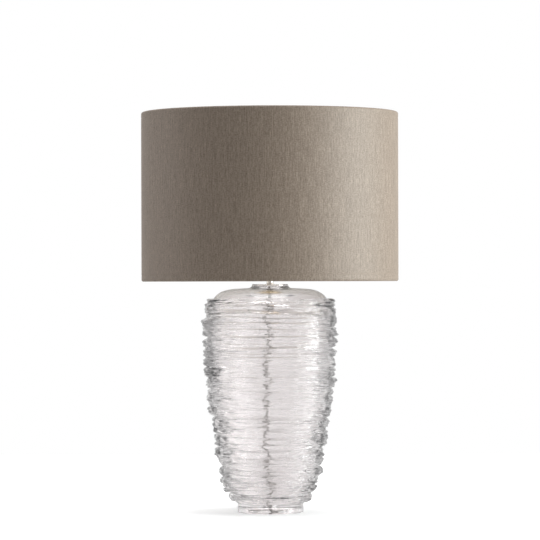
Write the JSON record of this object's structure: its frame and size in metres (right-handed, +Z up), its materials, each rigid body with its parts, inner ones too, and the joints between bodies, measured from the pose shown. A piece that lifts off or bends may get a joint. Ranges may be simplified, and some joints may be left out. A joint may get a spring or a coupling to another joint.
{
  "type": "table lamp",
  "caption": "Table lamp: thread-wound clear glass vase base, short brass stem, straight fabric drum shade on a wire carrier, screw bulb, flex and plug.",
  "frame": {"origin": "centre of the foot's underside, on the table", "axes": "+Z up along the lamp's axis, -Y towards the viewer, +X to the viewer's right; the flex leaves at the back"},
  "size_m": [0.4059, 0.4231, 0.632],
  "materials": {
    "clear_glass": "polished blown glass, faintly pink",
    "clear_silicone": "clear silicone",
    "clear_plastic": "translucent plastic",
    "polished_nickel_brass": "polished",
    "polished_brass": "polished",
    "brass_wire": "satin",
    "steel": "zinc plated",
    "ceramic": "glazed",
    "black_plastic": "matt",
    "brown_insulation": "satin",
    "blue_insulation": "satin",
    "taupe_fabric": "woven, vertical slub, silk-like",
    "white_liner": "matt styrene",
    "white_frame": "satin white",
    "bulb_contact": "solder-bright",
    "bulb_cap_metal": "nickel plated",
    "black_glass": "black vitreous insulator",
    "bulb_glass": "clear",
    "filament_yellow": "phosphor coated",
    "grey_flex": "soft round sheath",
    "white_plastic": "moulded"
  },
  "bodies": {
    "base": {"glass_vessel": "clear_glass", "thread_trail_a": "clear_glass", "thread_trail_b": "clear_glass", "cap_seal": "clear_silicone", "neck_cap": "polished_nickel_brass", "stem_tube": "polished_nickel_brass", "stem_nut": "polished_brass", "stem_bush": "clear_plastic", "base_grommet": "clear_plastic", "holder_cap": "polished_brass", "grub_screw": "steel", "holder_sleeve": "polished_brass", "holder_insulator": "ceramic", "screw_shell": "polished_brass", "centre_contact": "polished_brass", "side_contact": "polished_brass", "switch_body": "black_plastic", "terminal_blocks": "polished_brass", "terminal_screws": "steel", "cord_grip": "black_plastic", "live_core": "brown_insulation", "neutral_core": "blue_insulation", "retaining_ring": "polished_brass", "lead_inside": "grey_flex", "lead_run": "grey_flex", "lead_tail": "grey_flex", "lead_coil": "grey_flex", "coil_tie": "clear_plastic", "plug_relief": "white_plastic", "plug_body": "white_plastic", "plug_pins": "bulb_cap_metal"},
    "carrier": {"carrier_ring": "brass_wire", "carrier_wires": "brass_wire", "carrier_top_ring": "brass_wire"},
    "shade": {"shade_fabric": "taupe_fabric", "hem_top": "taupe_fabric", "hem_bottom": "taupe_fabric", "shade_liner": "white_liner", "shade_top_wire": "white_frame", "shade_bottom_wire": "white_frame", "duplex_ring": "white_frame", "spider_arms": "white_frame"},
    "bulb_contact": {"bulb_tip": "bulb_contact"},
    "bulb": {"bulb_insulator": "black_glass", "bulb_screw_cap": "bulb_cap_metal", "bulb_globe": "bulb_glass", "bulb_stem": "bulb_glass", "bulb_filaments": "filament_yellow"},
    "switch_bar": {"push_bar": "polished_brass"}
  },
  "joints": [
    {"name": "shade_turn", "type": "hinge", "parent": "base", "child": "carrier", "pos_m": [0, 0, 0.4243], "axis": [0, 0, 1], "continuous": true},
    {"name": "shade_lift", "type": "slide", "parent": "carrier", "child": "shade", "axis": [0, 0, 1], "range_m": [0, 0.25]},
    {"name": "bulb_rise", "type": "slide", "parent": "base", "child": "bulb_contact", "axis": [0, 0, 1], "range_m": [0, 0.0109]},
    {"name": "bulb_turn", "type": "hinge", "parent": "bulb_contact", "child": "bulb", "pos_m": [0, 0, 0.42], "axis": [0, 0, 1], "range_deg": [0, 1080]},
    {"name": "switch_push", "type": "slide", "parent": "base", "child": "switch_bar", "axis": [1, 0, 0], "range_m": [0, 0.006]}
  ],
  "couplings": [
    {"joint": "bulb_rise", "follows": "bulb_turn", "m_per_rad": 0.00057757}
  ]
}
